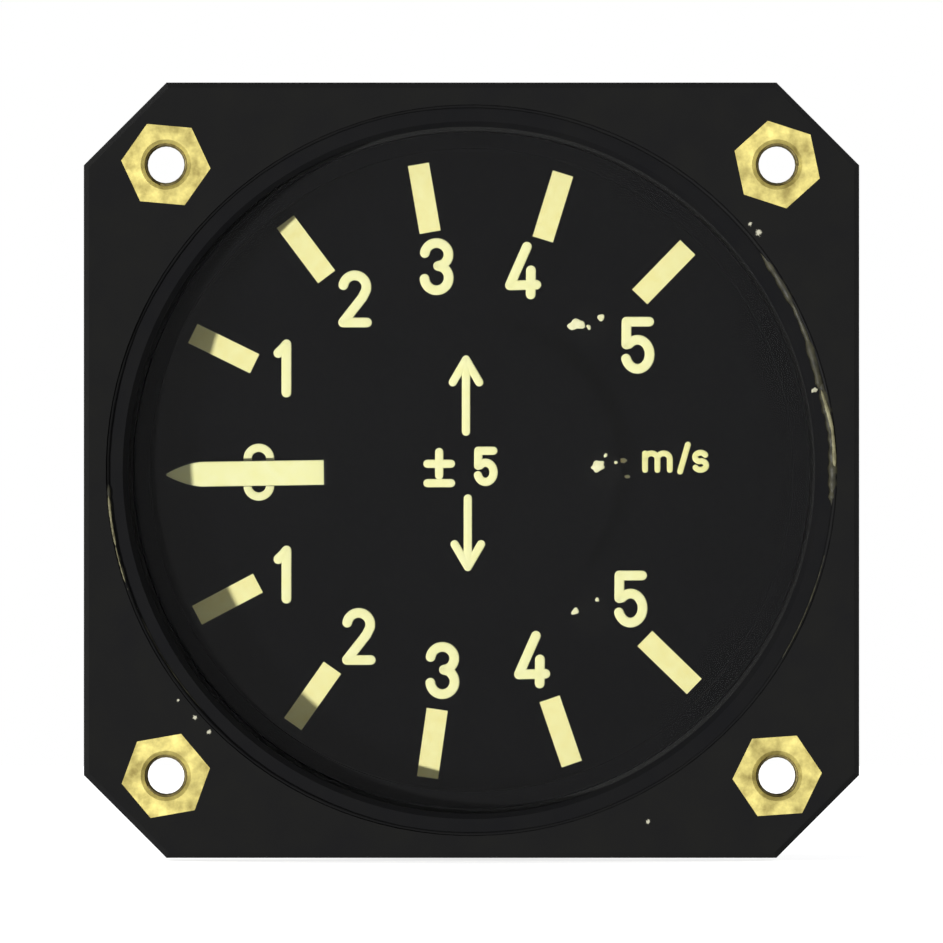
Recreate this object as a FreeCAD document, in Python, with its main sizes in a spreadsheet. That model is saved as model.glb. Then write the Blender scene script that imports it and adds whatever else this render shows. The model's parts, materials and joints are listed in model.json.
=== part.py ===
"""A glider's variometer for a 57 mm panel cut-out, as a parametric document of separate pieces.

Millimetres. The dial faces -Y, +X is to the right as seen from the front, +Z is up, and the
origin is the centre of the flange's front face, which lies against the instrument panel.

Every piece is drawn as seen from the front: its own plane z = 0 is its front face, and its
material goes back from there. A vane turns in a closed chamber, held by a hairspring; its shaft
carries the pointer. All lengths along the axis form one chain, from the panel face to the rear.
"""

import FreeCAD, Part
import math
import os
import re

import Sketcher
from FreeCAD import Placement, Rotation, Vector

# ---------------------------------------------------------------- driving dimensions

SIZES = {
    # flange, barrel and panel fixings
    "flange_margin": 1.5,
    "flange_thickness": 6.5,
    "corner_wall": 0.99,
    "flange_edge_chamfer": 0.4,
    "bolt_offset": 4.946,
    "insert_flats": 6.0,
    "insert_length": 5.0,
    "insert_bore_diameter": 3.3,
    "insert_chamfer": 0.3,
    "barrel_diameter": 57.0,
    "case_wall": 2.2,
    "rib_thickness": 2.5,
    "rib_width": 3.7,
    "rear_space": 17.5,
    # glass and its ring
    "ring_setback": 0.4,
    "ring_thickness": 1.2,
    "ring_width": 1.65,
    "ring_clearance": 0.05,
    "recess_wall": 0.2,
    "glass_thickness": 2.0,
    "glass_clearance": 0.15,
    "seal_thickness": 0.8,
    "seal_setback": 0.35,
    # dial
    "spacer_gap": 0.4,
    "spacer_length": 4.2,
    "spacer_wall": 1.25,
    "fit_clearance": 0.1,
    "dial_thickness": 0.8,
    "dial_hole_diameter": 9.0,
    "mark_edge": 0.85,
    "mark_length": 5.35,
    "mark_width": 1.65,
    "mark_height": 0.1,
    "mark_step": 27.0,
    "marks_each_way": 5,
    "dial_turn": 0.85,
    # hub cover in front of the pointer
    "cover_disc_diameter": 22.6,
    "cover_disc_thickness": 0.4,
    "cover_disc_height": 1.3,
    "tongue_width": 3.2,
    "post_distance": 10.1,
    "post_diameter": 3.2,
    # fasteners
    "small_head_diameter": 3.0,
    "small_head_height": 0.45,
    "small_shank_diameter": 1.6,
    "small_slot_width": 0.4,
    "small_thread_length": 3.0,
    "head_proud_height": 0.15,
    "slot_depth": 0.25,
    # pointer
    "pointer_height": 0.5,
    "pointer_thickness": 0.3,
    "pointer_setback": 0.4,
    "pointer_width": 2.0,
    "pointer_tip_length": 1.9,
    "tail_reach_length": 7.5,
    "tail_width": 3.2,
    "tail_length": 3.0,
    "hub_diameter": 4.2,
    "hub_length": 1.4,
    "hub_spigot_diameter": 2.8,
    "hub_proud_height": 0.25,
    # pillars and dial screws
    "pillar_length": 4.0,
    "pillar_diameter": 4.0,
    "dial_screw_x": 9.3,
    "dial_screw_z": 11.3,
    "inner_pillar_x": 9.2,
    # vane chamber
    "plate_thickness": 2.0,
    "chamber_depth": 20.0,
    "chamber_wall": 1.6,
    "head_gap": 1.0,
    "lug_radius": 2.3,
    "lug_gap": 0.8,
    "vane_thickness": 0.3,
    "vane_clearance": 0.2,
    "vane_hub_diameter": 5.0,
    "vane_root_depth": 1.0,
    "partition_half_angle": 25.0,
    "partition_inner_margin": 5,
    "partition_outer_margin": 3.0,
    "swing": 140.0,
    "stop_pin_diameter": 1.2,
    "stop_sleeve_diameter": 2.0,
    "stop_length": 4.0,
    "stop_inset": 2.5,
    "stop_gap": 0.05,
    "port_angle": 32.0,
    "port_gap": 0.4,
    "port_bore_diameter": 2.4,
    # shaft and bearings
    "shaft_diameter": 1.5,
    "pivot_diameter": 0.6,
    "pivot_length": 0.75,
    "shaft_end_play": 0.05,
    "bearing_clearance": 0.03,
    "shaft_clearance": 0.4,
    "jewel_diameter": 3.0,
    "jewel_thickness": 0.8,
    "bush_diameter": 5.0,
    "bush_flange_diameter": 7.0,
    "bush_flange_thickness": 0.6,
    # balance
    "arm_diameter": 0.8,
    "arm_gap": 1.235,
    "weight_diameter": 3.4,
    "weight_length": 5.5,
    "weight_end": 0.35,
    "arm_hub_diameter": 4.0,
    "arm_hub_length": 2.0,
    # hairspring and zero setting
    "spring_gap": 3.0,
    "spring_height": 0.8,
    "spring_thickness": 0.12,
    "spring_turns": 5,
    "spring_pitch": 0.8,
    "spring_clearance": 0.05,
    "collet_diameter": 4.0,
    "collet_length": 1.8,
    "stud_width": 1.6,
    "stud_depth": 1.4,
    "regulator_gap": 1.6,
    "regulator_thickness": 1.0,
    "regulator_ring_diameter": 9.0,
    "regulator_clearance": 0.04,
    "gear_module": 0.5,
    "sector_teeth": 36,
    "sector_kept": 7,
    "pinion_teeth": 12,
    "gear_backlash": 0.14,
    "pressure_angle": 25.0,
    "regulator_arm_width": 2.4,
    "boss_diameter": 5.0,
    "clip_thickness": 0.4,
    "clip_width": 1.0,
    "clip_groove_depth": 0.4,
    "bridge_gap": 0.1,
    "bridge_thickness": 2.0,
    "bridge_width": 7.0,
    "bridge_post_diameter": 4.0,
    "jewel_screw_diameter": 3.0,
    "jewel_screw_end_length": 2.4,
    "jewel_nut_flats": 5.5,
    "jewel_nut_height": 1.6,
    "rear_jewel_diameter": 2.0,
    "zero_shaft_diameter": 2.0,
    "zero_head_diameter": 5.0,
    "zero_head_height": 1.4,
    "zero_seal_width": 1.0,
    "zero_seal_thickness": 1.0,
    "zero_clip_width": 1.2,
    # rear cover and hose connections
    "cover_thickness": 3.0,
    "spigot_length": 2.0,
    "cover_seal_thickness": 0.6,
    "cover_boss_diameter": 6.4,
    "cover_screw_inset": 2.8,
    "cover_screw_diameter": 2.5,
    "cover_screw_head_diameter": 4.7,
    "cover_screw_head_height": 1.4,
    "cover_screw_length": 10.0,
    "nipple_flats": 8.0,
    "nipple_collar_length": 3.0,
    "nipple_thread_diameter": 5.0,
    "nipple_bore_diameter": 2.4,
    "nipple_stem_diameter": 4.8,
    "nipple_barb_diameter": 6.0,
    "nipple_length": 12.0,
    "barb_count": 3,
    "barb_land_length": 0.6,
    "washer_thickness": 0.6,
    "hose_wall": 0.8,
    "hose_grip_length": 4.0,
    "port_stem_diameter": 4.0,
    "port_collar_length": 1.2,
    "port_collar_diameter": 6.4,
}

document = FreeCAD.newDocument("Variometer")
sheet = document.addObject("Spreadsheet::Sheet", "Sizes")
for row, (size_name, size) in enumerate(SIZES.items(), 1):
    sheet.set(f"A{row}", size_name)
    sheet.set(f"B{row}", str(size))
    sheet.setAlias(f"B{row}", size_name)
document.recompute()

# ---------------------------------------------------------------- stations along the axis

GLASS_FRONT = "(ring_setback + ring_thickness)"
GLASS_REAR = f"({GLASS_FRONT} + glass_thickness)"
RECESS_DEPTH = f"({GLASS_REAR} + seal_thickness)"
SPACER_FRONT = f"({GLASS_REAR} + spacer_gap)"
DIAL_FRONT = f"({SPACER_FRONT} + spacer_length)"
DIAL_REAR = f"({DIAL_FRONT} + dial_thickness)"
COVER_FRONT = f"({DIAL_REAR} + pillar_length)"
CHAMBER_FRONT = f"({COVER_FRONT} + plate_thickness)"
CHAMBER_REAR = f"({CHAMBER_FRONT} + chamber_depth)"
PLATE_REAR = f"({CHAMBER_REAR} + plate_thickness)"
RIB_REAR = f"({PLATE_REAR} + rib_thickness)"
CASE_REAR = f"({RIB_REAR} + rear_space)"
LID_FRONT = f"({CASE_REAR} + cover_seal_thickness)"
LID_REAR = f"({LID_FRONT} + cover_thickness)"

POINTER_REAR = f"({DIAL_FRONT} - pointer_height)"
POINTER_FRONT = f"({POINTER_REAR} - pointer_thickness)"
DISC_REAR = f"({DIAL_FRONT} - cover_disc_height)"
DISC_FRONT = f"({DISC_REAR} - cover_disc_thickness)"
SPRING_FRONT = f"({PLATE_REAR} + spring_gap)"
SPRING_REAR = f"({SPRING_FRONT} + spring_height)"
REGULATOR_FRONT = f"({SPRING_REAR} + regulator_gap)"
REGULATOR_REAR = f"({REGULATOR_FRONT} + regulator_thickness)"
BRIDGE_FRONT = f"({REGULATOR_REAR} + bridge_gap)"
BRIDGE_REAR = f"({BRIDGE_FRONT} + bridge_thickness)"
JEWEL_SCREW_FRONT = f"({REGULATOR_FRONT} - clip_thickness)"
SHAFT_FRONT = f"({POINTER_FRONT} - hub_proud_height)"
LID_INNER = f"({CASE_REAR} - spigot_length)"

# ---------------------------------------------------------------- radii and places

BARREL = "(barrel_diameter / 2)"
BORE = f"({BARREL} - case_wall)"
RECESS = f"({BARREL} - recess_wall)"
FLANGE_HALF = f"({BARREL} + flange_margin)"
INSERT_CORNER = "(insert_flats / 2 / cos(30))"
INSERT_PLACE = f"(({BARREL} + bolt_offset) * cos(45))"
CORNER_REACH = f"(({BARREL} + bolt_offset + {INSERT_CORNER} + corner_wall) / cos(45))"
PLATE = f"({BORE} - fit_clearance)"
SHAFT = "(shaft_diameter / 2)"
SHANK = "(small_shank_diameter / 2)"
PLATE_SCREW_CIRCLE = f"({BORE} - small_head_diameter / 2 - 2 * fit_clearance)"
CHAMBER_OUT = f"({PLATE_SCREW_CIRCLE} - small_head_diameter / 2 - head_gap)"
CHAMBER = f"({CHAMBER_OUT} - chamber_wall)"
LUG_CIRCLE = f"({PLATE} - lug_gap - lug_radius)"
APERTURE = f"({PLATE} - spacer_wall)"
MARK_OUTER = f"({APERTURE} - mark_edge)"
MARK_INNER = f"({MARK_OUTER} - mark_length)"
POINTER_REACH = f"({MARK_OUTER} - pointer_setback)"
ARM_REACH = "(sqrt(dial_screw_x ^ 2 + dial_screw_z ^ 2) - pillar_diameter / 2 - arm_gap)"
STOP_RADIUS = f"({CHAMBER} - stop_inset)"
VANE_HUB = "(vane_hub_diameter / 2)"
BRIDGE_POST_X = f"(({VANE_HUB} + partition_inner_margin + {CHAMBER} - partition_outer_margin) / 2)"
STOP_REACH = "(vane_thickness / 2 + stop_sleeve_diameter / 2 + stop_gap)"
STOP_ANGLE = f"(180 - swing - asin({STOP_REACH} / {STOP_RADIUS}) / 1deg)"
PITCH_SECTOR = "(gear_module * sector_teeth / 2)"
PITCH_PINION = "(gear_module * pinion_teeth / 2)"
ZERO_PLACE = f"({PITCH_SECTOR} + {PITCH_PINION})"
PORT_CIRCLE = f"({STOP_RADIUS} - stop_pin_diameter / 2 - port_stem_diameter / 2 - port_gap)"
PORT_X = f"({PORT_CIRCLE} * cos(port_angle))"
PORT_Z = f"({PORT_CIRCLE} * sin(port_angle))"
LID_SCREW_CIRCLE = f"({BORE} - cover_screw_inset)"
SPRING_START = "(collet_diameter / 2 + spring_thickness / 2)"
STUD_PLACE = f"({SPRING_START} + spring_turns * spring_pitch)"

CENTRE = [("0", "0")]
LUG_ANGLES = (30, 150, 270)
PLATE_SCREW_ANGLES = (90, 210, 330)
LID_SCREW_ANGLES = (30, 150, 270)
ROOT_SHARE = 1.25
CLOSE = 0.01
FLANK_STEPS = 4


# ---------------------------------------------------------------- ways of drawing


def with_sheet(expression):
    """The same expression with the sheet's name before each alias."""
    return re.sub(r"[a-z_]+", lambda word: ("Sizes." if word[0] in SIZES else "") + word[0], expression)


def value(expression):
    """The number that an expression stands for."""
    result = sheet.evalExpression(expression)
    return float(getattr(result, "Value", result))


def polar(radius, angle, across="0"):
    """The place at this radius and angle, moved sideways by across, as two expressions."""
    return (
        f"({radius} * cos({angle}) - {across} * sin({angle}))",
        f"({radius} * sin({angle}) + {across} * cos({angle}))",
    )


def seat(target, station, x="0", z="0"):
    """Turn a piece so that its own z points at the viewer, and set it at this station."""
    target.Placement = Placement(Vector(), Rotation(Vector(1, 0, 0), 90))
    for axis, place in (("x", x), ("y", station), ("z", z)):
        target.setExpression(f"Placement.Base.{axis}", with_sheet(place))


def piece(label, station="0", x="0", z="0"):
    """A new body, which one sub-part of the assembly is drawn in."""
    body = document.addObject("PartDesign::Body", label)
    body.Label = label
    body.AllowCompound = True
    seat(body, station, x, z)
    return body


def sketch_on(body, role="XY_Plane", offset="0"):
    """A sketch on one of the body's own origin planes, moved along that plane's normal."""
    plane = next(item for item in body.Origin.OriginFeatures if item.Role == role)
    sketch = body.newObject("Sketcher::SketchObject", f"{body.Name}_sketch")
    sketch.AttachmentSupport = [(plane, "")]
    sketch.MapMode = "FlatFace"
    sketch.setExpression("AttachmentOffset.Base.z", with_sheet(offset))
    return sketch


def constrain(sketch, kind, expression, *geometry):
    """Add a dimension that follows an expression."""
    index = sketch.addConstraint(Sketcher.Constraint(kind, *geometry, value(expression)))
    sketch.renameConstraint(index, f"size{index}")
    sketch.setExpression(f"Constraints.size{index}", with_sheet(expression))


def locate(sketch, index, point, x, y):
    """Dimension one point of an element from the sketch's origin."""
    constrain(sketch, "DistanceX", x, -1, 1, index, point)
    constrain(sketch, "DistanceY", y, -1, 1, index, point)


def add_circle(sketch, radius, x="0", y="0"):
    """A circle with its radius and centre dimensioned."""
    circle = Part.Circle(Vector(value(x), value(y), 0), Vector(0, 0, 1), value(radius))
    index = sketch.addGeometry(circle, False)
    constrain(sketch, "Radius", radius, index)
    locate(sketch, index, 3, x, y)


def add_outline(sketch, points):
    """A closed outline of straight sides, each corner dimensioned."""
    corners = [Vector(value(x), value(y), 0) for x, y in points]
    first = sketch.GeometryCount
    for start, end in zip(corners, corners[1:] + corners[:1]):
        sketch.addGeometry(Part.LineSegment(start, end), False)
    for step, (x, y) in enumerate(points):
        before = first + (step - 1) % len(points)
        sketch.addConstraint(Sketcher.Constraint("Coincident", before, 2, first + step, 1))
        locate(sketch, first + step, 1, x, y)


def add_bar(sketch, length, width, x="0", y="0", angle="0"):
    """A rectangle about a place, turned by an angle."""
    corners = [(1, 1), (-1, 1), (-1, -1), (1, -1)]
    ends = [polar(f"({a} * {length} / 2)", angle, f"({b} * {width} / 2)") for a, b in corners]
    add_outline(sketch, [(f"{x} + {along}", f"{y} + {up}") for along, up in ends])


def add_hexagon(sketch, flats, x="0", y="0", angle=0):
    """A hexagon of this width across its flats, with a corner at this angle."""
    corners = [polar(f"({flats} / 2 / cos(30))", 60 * side + angle) for side in range(6)]
    add_outline(sketch, [(f"{x} + {along}", f"{y} + {up}") for along, up in corners])


def pad(body, sketch, length):
    """Material from the sketch towards the rear."""
    feature = body.newObject("PartDesign::Pad", f"{body.Name}_pad")
    feature.Profile = sketch
    feature.Reversed = True
    feature.setExpression("Length", with_sheet(length))
    return feature


def pocket(body, sketch, length):
    """A cut from the sketch towards the rear."""
    feature = body.newObject("PartDesign::Pocket", f"{body.Name}_pocket")
    feature.Profile = sketch
    feature.setExpression("Length", with_sheet(length))
    return feature


def discs(body, radius, start, length, places=CENTRE, bore=None):
    """Round material at each place, from a depth behind the piece's front; bore makes it a tube."""
    sketch = sketch_on(body, offset=f"-({start})")
    for x, y in places:
        add_circle(sketch, radius, x, y)
        if bore:
            add_circle(sketch, bore, x, y)
    return pad(body, sketch, length)


def drill(body, radius, start, length, places=CENTRE):
    """Round holes at each place, from a depth behind the piece's front."""
    sketch = sketch_on(body, offset=f"-({start})")
    for x, y in places:
        add_circle(sketch, radius, x, y)
    return pocket(body, sketch, length)


def turn(body, profile):
    """A turned piece: the corners of its half section, each as a radius and a depth."""
    sketch = sketch_on(body, "XZ_Plane")
    add_outline(sketch, [(radius, f"-({depth})") for radius, depth in profile])
    feature = body.newObject("PartDesign::Revolution", f"{body.Name}_turned")
    feature.Profile = sketch
    feature.ReferenceAxis = (sketch, ["V_Axis"])
    feature.Angle = 360
    return feature


def is_front(edge):
    """Whether an edge lies in its piece's front plane."""
    return edge.BoundBox.ZMin > -CLOSE


def chamfer(body, feature, size, wanted):
    """Chamfer the edges of a feature that a test picks, in the piece's own frame."""
    document.recompute()
    names = [f"Edge{i}" for i, edge in enumerate(feature.Shape.Edges, 1) if wanted(edge)]
    cut = body.newObject("PartDesign::Chamfer", f"{body.Name}_chamfer")
    cut.Base = (feature, names)
    cut.setExpression("Size", with_sheet(size))
    return cut


def screws(label, station, places, shank, head_in_front=True, slots=(20, 75, 140, 110)):
    """Slotted screws whose heads rest on a face at this station, as one group of solids."""
    body = piece(label, station)
    head = "-small_head_height" if head_in_front else "0"
    shank_start = "0" if head_in_front else f"-({shank})"
    slot_start = "-small_head_height" if head_in_front else "(small_head_height - slot_depth)"
    discs(body, "small_head_diameter / 2", head, "small_head_height", places)
    discs(body, SHANK, shank_start, shank, places)
    sketch = sketch_on(body, offset=f"-({slot_start})")
    for (x, y), angle in zip(places, slots):
        add_bar(sketch, "(small_head_diameter + fit_clearance)", "small_slot_width", x, y, str(angle))
    pocket(body, sketch, "slot_depth")
    return body


# ---------------------------------------------------------------- case and glass

# Each insert's side to the right, side up and small turn, from the upper left one round.
INSERTS = [(-1, 1, -5), (1, 1, -18), (1, -1, 4), (-1, -1, 10)]
INSERT_PLACES = [(f"({x} * {INSERT_PLACE})", f"({z} * {INSERT_PLACE})") for x, z, turned in INSERTS]
INSERT_TURNS = [turned for x, z, turned in INSERTS]
LID_SCREW_PLACES = [polar(LID_SCREW_CIRCLE, angle) for angle in LID_SCREW_ANGLES]
PLATE_SCREW_PLACES = [polar(PLATE_SCREW_CIRCLE, angle) for angle in PLATE_SCREW_ANGLES]
LUG_PLACES = [polar(LUG_CIRCLE, angle) for angle in LUG_ANGLES]


def hexagons_on(body):
    """A sketch of the four insert hexagons, each turned a little differently."""
    sketch = sketch_on(body)
    for (x, z), turned in zip(INSERT_PLACES, INSERT_TURNS):
        add_hexagon(sketch, "insert_flats", x, z, turned)
    return sketch


def make_case():
    """Square flange with cut corners and a barrel, bored from both ends down to a rib."""
    body = piece("case")
    short = f"({CORNER_REACH} - {FLANGE_HALF})"
    corners = [(short, FLANGE_HALF), (FLANGE_HALF, short)]
    corners += [(x, f"(-{z})") for x, z in reversed(corners)]
    corners += [(f"(-{x})", z) for x, z in reversed(corners)]
    flange = sketch_on(body)
    add_outline(flange, corners)
    front = pad(body, flange, "flange_thickness")
    chamfer(body, front, "flange_edge_chamfer", is_front)
    discs(body, BARREL, "flange_thickness", f"{CASE_REAR} - flange_thickness")
    drill(body, RECESS, "0", RECESS_DEPTH)
    drill(body, BORE, "0", PLATE_REAR)
    drill(body, f"{BORE} - rib_width", "0", RIB_REAR)
    drill(body, BORE, RIB_REAR, f"{CASE_REAR} - {RIB_REAR}")
    boss_rear = f"({CASE_REAR} - spigot_length - fit_clearance)"
    discs(body, "cover_boss_diameter / 2", RIB_REAR, f"{boss_rear} - {RIB_REAR}", LID_SCREW_PLACES)
    hole_front = f"({LID_REAR} - cover_screw_length - fit_clearance)"
    drill(body, "cover_screw_diameter / 2", hole_front, "cover_screw_length", LID_SCREW_PLACES)
    drill(body, SHANK, PLATE_REAR, "rib_thickness", PLATE_SCREW_PLACES)
    drill(body, "insert_bore_diameter / 2 + 2 * fit_clearance", "0", "flange_thickness", INSERT_PLACES)
    pocket(body, hexagons_on(body), "insert_length")


def make_flange_inserts():
    """Four hexagonal threaded inserts, moulded in flush with the flange's front."""
    body = piece("flange_inserts")
    pad(body, hexagons_on(body), "insert_length")
    bored = drill(body, "insert_bore_diameter / 2", "0", "insert_length", INSERT_PLACES)
    chamfer(body, bored, "insert_chamfer",
            lambda edge: is_front(edge) and isinstance(edge.Curve, Part.Circle))


def make_front():
    """Retaining ring, glass, rubber seal and the spacer ring between glass and dial."""
    outer = f"({RECESS} - ring_clearance)"
    inner = f"({outer} - ring_width)"
    ring = piece("retaining_ring", "ring_setback")
    edge = "flange_edge_chamfer"
    turn(ring, [(f"{inner} + {edge}", "0"), (outer, "0"), (outer, "ring_thickness"),
                (inner, "ring_thickness"), (inner, edge)])
    glass = piece("front_glass", GLASS_FRONT)
    discs(glass, f"{RECESS} - glass_clearance", "0", "glass_thickness")
    seal = piece("glass_seal", GLASS_REAR)
    rim = f"({RECESS} - glass_clearance)"
    discs(seal, rim, "0", "seal_thickness", bore=f"{BORE} + seal_setback")
    spacer = piece("spacer_ring", SPACER_FRONT)
    discs(spacer, PLATE, "0", "spacer_length", bore=APERTURE)


# ---------------------------------------------------------------- dial

PILLAR_PLACES = [
    ("dial_screw_x", "dial_screw_z"),
    ("dial_screw_x", "(-dial_screw_z)"),
    ("(-inner_pillar_x)", "0"),
]
POST_PLACE = [("post_distance", "0")]


def make_dial():
    """Dial plate with its raised scale marks, its three screws and the pillars that carry it."""
    dial = piece("dial_plate", DIAL_FRONT)
    discs(dial, PLATE, "0", "dial_thickness")
    drill(dial, "dial_hole_diameter / 2", "0", "dial_thickness")
    drill(dial, "small_head_diameter / 2", "0", "small_head_height - head_proud_height", PILLAR_PLACES)
    drill(dial, SHANK, "0", "dial_thickness", PILLAR_PLACES + POST_PLACE)

    marks = piece("scale_marks", f"{DIAL_FRONT} - mark_height")
    first = sketch_on(marks)
    for start in ("(180 + dial_turn - marks_each_way * mark_step)", "(180 + dial_turn + mark_step)"):
        middle = polar(f"({MARK_INNER} + mark_length / 2)", start)
        add_bar(first, "mark_length", "mark_width", *middle, start)
    bar = pad(marks, first, "mark_height")
    document.recompute()
    around = marks.newObject("PartDesign::PolarPattern", "scale_marks_around")
    around.Originals = [bar]
    around.Axis = (next(item for item in marks.Origin.OriginFeatures if item.Role == "Z_Axis"), [""])
    around.setExpression("Angle", with_sheet("(marks_each_way - 1) * mark_step"))
    around.setExpression("Occurrences", with_sheet("marks_each_way"))
    marks.Tip = around

    head_seat = f"({DIAL_FRONT} + small_head_height - head_proud_height)"
    shank = "(dial_thickness + small_thread_length - small_head_height + head_proud_height)"
    screws("dial_screws", head_seat, PILLAR_PLACES, shank)

    pillars = piece("dial_pillars", DIAL_REAR)
    discs(pillars, "pillar_diameter / 2", "0", "pillar_length", PILLAR_PLACES)
    discs(pillars, SHANK, "pillar_length", "plate_thickness", PILLAR_PLACES)
    drill(pillars, SHANK, "0", "small_thread_length", PILLAR_PLACES)


def make_hub_cover():
    """Disc in front of the pointer's hub, on a tongue that one screw holds to a post."""
    cover = piece("hub_cover", DISC_FRONT)
    discs(cover, "cover_disc_diameter / 2", "0", "cover_disc_thickness")
    tongue = sketch_on(cover)
    add_bar(tongue, "post_distance", "tongue_width", "post_distance / 2")
    pad(cover, tongue, "cover_disc_thickness")
    discs(cover, "tongue_width / 2", "0", "cover_disc_thickness", POST_PLACE)
    drill(cover, SHANK, "0", "cover_disc_thickness", POST_PLACE)

    post = piece("hub_cover_post", DISC_REAR)
    discs(post, "post_diameter / 2", "0", "cover_disc_height", POST_PLACE)
    discs(post, SHANK, "cover_disc_height", "dial_thickness", POST_PLACE)
    drill(post, SHANK, "0", "cover_disc_height - fit_clearance", POST_PLACE)
    shank = "(cover_disc_thickness + cover_disc_height - 2 * fit_clearance)"
    screws("hub_cover_screw", DISC_FRONT, POST_PLACE, shank)


# ---------------------------------------------------------------- vane chamber

PORT_PLACE = (PORT_X, f"(-{PORT_Z})")
VENT_PLACE = (PORT_X, PORT_Z)
STOP_PLACES = [polar(STOP_RADIUS, f"({sign} * {STOP_ANGLE})") for sign in (1, -1)]
PARTITION_PLACES = [
    (f"({VANE_HUB} + partition_inner_margin)", "0"),
    (f"({CHAMBER} - partition_outer_margin)", "0"),
]
BRIDGE_PLACES = [(BRIDGE_POST_X, "0"), (f"(-{BRIDGE_POST_X})", "0")]


def make_chamber():
    """Round vane chamber between two plates, clamped by three long screws through its lugs."""
    cover = piece("chamber_cover", COVER_FRONT)
    discs(cover, CHAMBER_OUT, "0", "plate_thickness")
    discs(cover, "lug_radius", "0", "plate_thickness", LUG_PLACES)
    drill(cover, "bush_diameter / 2", "0", "plate_thickness")
    drill(cover, SHANK, "0", "plate_thickness", LUG_PLACES + PILLAR_PLACES)

    body = piece("chamber_body", CHAMBER_FRONT)
    discs(body, CHAMBER_OUT, "0", "chamber_depth")
    discs(body, "lug_radius", "0", "chamber_depth", LUG_PLACES)
    drill(body, CHAMBER, "0", "chamber_depth")
    drill(body, SHANK, "0", "chamber_depth", LUG_PLACES)

    plate = piece("main_plate", CHAMBER_REAR)
    discs(plate, PLATE, "0", "plate_thickness")
    drill(plate, f"{SHAFT} + shaft_clearance", "0", "plate_thickness")
    threads = LUG_PLACES + PLATE_SCREW_PLACES + PARTITION_PLACES + BRIDGE_PLACES
    drill(plate, SHANK, "0", "plate_thickness", threads)
    drill(plate, "stop_pin_diameter / 2", "0", "plate_thickness", STOP_PLACES)
    drill(plate, "port_stem_diameter / 2", "0", "plate_thickness", [PORT_PLACE])
    drill(plate, "port_bore_diameter / 2", "0", "plate_thickness", [VENT_PLACE])

    screws("chamber_screws", COVER_FRONT, LUG_PLACES, "2 * plate_thickness + chamber_depth")
    screws("plate_screws", CHAMBER_REAR, PLATE_SCREW_PLACES, "plate_thickness + rib_thickness")


def make_partition():
    """Wedge between the chamber's wall and the vane's hub, screwed on from behind."""
    body = piece("partition", CHAMBER_FRONT)
    sketch = sketch_on(body)
    inner = f"({VANE_HUB} + vane_clearance)"
    outer = f"({CHAMBER} - ring_clearance)"
    half = math.radians(value("partition_half_angle"))
    rise = "sin(partition_half_angle)"
    for radius in (inner, outer):
        circle = Part.Circle(Vector(), Vector(0, 0, 1), value(radius))
        index = sketch.addGeometry(Part.ArcOfCircle(circle, -half, half), False)
        sketch.addConstraint(Sketcher.Constraint("Coincident", index, 3, -1, 1))
        constrain(sketch, "Radius", radius, index)
        constrain(sketch, "DistanceY", f"(-{radius} * {rise})", -1, 1, index, 1)
        constrain(sketch, "DistanceY", f"({radius} * {rise})", -1, 1, index, 2)
    for end, side in ((1, -half), (2, half)):
        inside, outside = (Vector(math.cos(side), math.sin(side), 0) * value(r) for r in (inner, outer))
        index = sketch.addGeometry(Part.LineSegment(inside, outside), False)
        sketch.addConstraint(Sketcher.Constraint("Coincident", index, 1, 0, end))
        sketch.addConstraint(Sketcher.Constraint("Coincident", index, 2, 1, end))
    pad(body, sketch, "chamber_depth")
    drill(body, SHANK, "chamber_depth - small_thread_length", "small_thread_length", PARTITION_PLACES)
    shank = "(plate_thickness + small_thread_length - fit_clearance)"
    screws("partition_screws", PLATE_REAR, PARTITION_PLACES, shank, head_in_front=False)


def make_stops():
    """Two pins in the main plate with rubber sleeves, which end the vane's swing."""
    pins = piece("stop_pins", f"{CHAMBER_REAR} - stop_length")
    discs(pins, "stop_pin_diameter / 2", "0", "stop_length + plate_thickness", STOP_PLACES)
    sleeves = piece("stop_buffers", f"{CHAMBER_REAR} - stop_length")
    discs(sleeves, "stop_sleeve_diameter / 2", "0", "stop_length", STOP_PLACES, bore="stop_pin_diameter / 2")


def make_port():
    """Spigot on the main plate and the straight hose from it to the rear cover."""
    x, z = PORT_PLACE
    port = piece("chamber_port", CHAMBER_REAR, x, z)
    bore = "port_bore_diameter / 2"
    stem = "port_stem_diameter / 2"
    collar = "port_collar_diameter / 2"
    collar_rear = "(plate_thickness + port_collar_length)"
    turn(port, [(bore, "0"), (stem, "0"), (stem, "plate_thickness"), (collar, "plate_thickness"),
                (collar, collar_rear), (stem, collar_rear), (stem, f"{collar_rear} + hose_grip_length"),
                (bore, f"{collar_rear} + hose_grip_length")])
    hose = piece("capacity_hose", f"{PLATE_REAR} + port_collar_length", x, z)
    length = f"({LID_INNER} - {PLATE_REAR} - port_collar_length)"
    discs(hose, "port_stem_diameter / 2 + hose_wall", "0", length, bore="port_stem_diameter / 2")


# ---------------------------------------------------------------- movement on the shaft

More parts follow.
